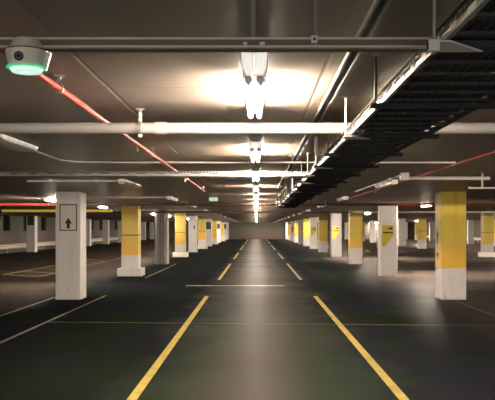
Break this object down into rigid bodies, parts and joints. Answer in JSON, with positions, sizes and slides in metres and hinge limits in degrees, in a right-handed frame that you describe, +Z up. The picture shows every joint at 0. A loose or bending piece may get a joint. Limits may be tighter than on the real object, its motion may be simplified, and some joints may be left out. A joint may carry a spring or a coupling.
{
  "type": "multi storey car park level, 1:10 scale model",
  "caption": "One parking level of a multi storey car park at 1:10: deck and soffit slabs on rows of square columns, with side walls, ceiling pipes, cable trays and lit battens.",
  "frame": {"origin": "centre of the underside of the deck slab", "axes": "+Y down the aisle from the open front, +X to the right, +Z up"},
  "size_m": [4, 11.005, 0.301],
  "materials": {
    "deck": "sealed, semi-gloss",
    "soffit": "painted, semi-gloss",
    "column_paint": "painted",
    "wall": "painted",
    "louvre": "satin",
    "galvanised": "galvanised",
    "pvc": "satin",
    "red_paint": "gloss",
    "brass": "satin",
    "cable": "matte",
    "white_enamel": "gloss",
    "lamp_glass": "lit tube",
    "sensor_shell": "satin",
    "sensor_light": "lit lens",
    "sign_face": "satin",
    "sign_green": "lit panel",
    "yellow_paint": "gloss"
  },
  "bodies": {
    "root": {"deck_slab": "deck", "soffit_slab": "soffit", "columns_aisle_left": "column_paint", "columns_aisle_right": "column_paint", "columns_outer_left": "column_paint", "columns_middle_right": "column_paint", "columns_outer_right": "column_paint", "column_plinths": "column_paint", "column_downpipes": "column_paint", "left_wall_sill": "wall", "left_wall_piers": "wall", "left_wall_louvres": "louvre", "right_wall": "wall", "end_wall": "wall", "guard_rail_left": "galvanised", "guard_rail_right": "galvanised", "rail_posts": "galvanised", "drain_pipe": "pvc", "drain_hangers": "galvanised", "sprinkler_pipe_left": "red_paint", "sprinkler_pipe_right": "red_paint", "sprinkler_main": "red_paint", "sprinkler_hangers": "galvanised", "sprinkler_heads": "brass", "main_tray": "galvanised", "tray_cables": "cable", "tray_brackets": "galvanised", "tray_rods": "galvanised", "cross_tray": "galvanised", "sensor_trunking": "galvanised", "gusset_plates": "white_enamel", "conduits": "pvc", "bent_conduit": "pvc", "pvc_drop": "pvc", "branch_pipes": "galvanised", "lamp_bodies": "white_enamel", "lamp_tubes": "lamp_glass", "side_battens": "white_enamel", "bay_lamp_bodies": "white_enamel", "bay_lamp_tubes": "lamp_glass", "sensor_base": "sensor_shell", "sensor_body": "sensor_shell", "sensor_ring": "sensor_light", "direction_sign": "sign_face", "exit_sign": "sign_green", "height_bar": "yellow_paint"}
  },
  "joints": []
}
